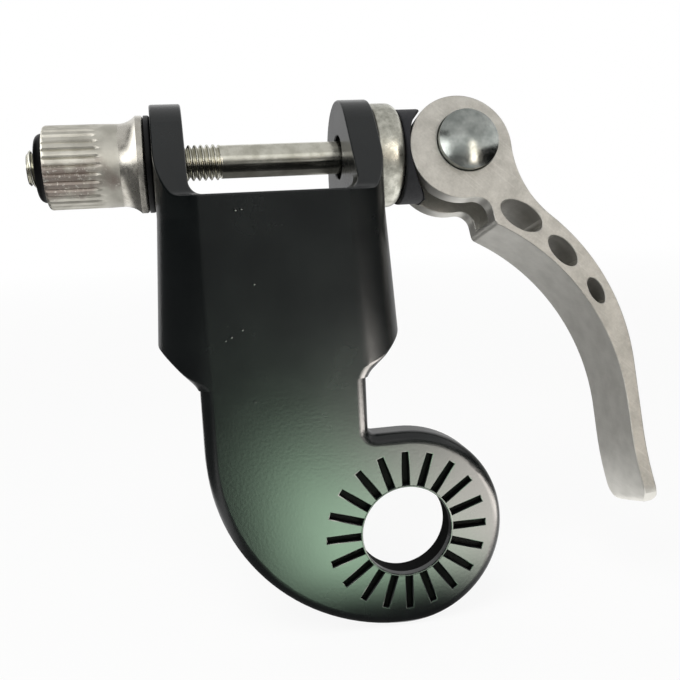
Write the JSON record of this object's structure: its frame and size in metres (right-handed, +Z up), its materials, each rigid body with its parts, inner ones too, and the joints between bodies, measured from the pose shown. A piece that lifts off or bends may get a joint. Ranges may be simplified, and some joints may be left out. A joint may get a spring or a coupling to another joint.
{
  "type": "bicycle trailer hitch",
  "caption": "Folded steel bracket with a serrated axle eye and a clevis, crossed by a cam-lever quick-release skewer with a fluted thumb nut.",
  "frame": {"origin": "centre of the axle hole on the serrated face of the eye", "axes": "+X along the skewer from the nut to the lever, +Y through the plate from the serrated face to the clevis, +Z up from the axle to the skewer"},
  "size_m": [0.098, 0.0323, 0.0868],
  "materials": {
    "black_powder_coat": "semi-gloss, fine orange peel",
    "plated_steel": "drawn, zinc plated",
    "polished_steel": "polished",
    "sawn_aluminium": "matte, tumbled",
    "black_plastic": "matte",
    "turned_aluminium": "turned, worn",
    "black_nylon": "satin"
  },
  "bodies": {
    "bracket": {"hitch_bracket": "black_powder_coat"},
    "skewer": {"skewer_rod": "plated_steel", "pivot_barrel": "polished_steel", "cam_saddle": "black_plastic", "cup_washer": "polished_steel"},
    "lever": {"cam_lever": "sawn_aluminium"},
    "nut_seat": {"nut_washer": "black_nylon"},
    "nut": {"thumb_nut": "turned_aluminium", "nylon_insert": "black_nylon"}
  },
  "joints": [
    {"name": "skewer_turn", "type": "hinge", "parent": "bracket", "child": "skewer", "pos_m": [-0.018, 0.019, 0.0608], "axis": [1, 0, 0], "continuous": true},
    {"name": "lever_swing", "type": "hinge", "parent": "skewer", "child": "lever", "pos_m": [0.01624, 0.019, 0.0608], "axis": [0, -0.9613, 0.2756], "range_deg": [0, 150]},
    {"name": "nut_travel", "type": "slide", "parent": "skewer", "child": "nut_seat", "axis": [-1, 0, 0], "range_m": [0, 0.008]},
    {"name": "nut_turn", "type": "hinge", "parent": "nut_seat", "child": "nut", "pos_m": [-0.045, 0.019, 0.0608], "axis": [-1, 0, 0], "range_deg": [0, 2880]}
  ],
  "couplings": [
    {"joint": "nut_travel", "follows": "nut_turn", "m_per_rad": 0.00015915}
  ]
}
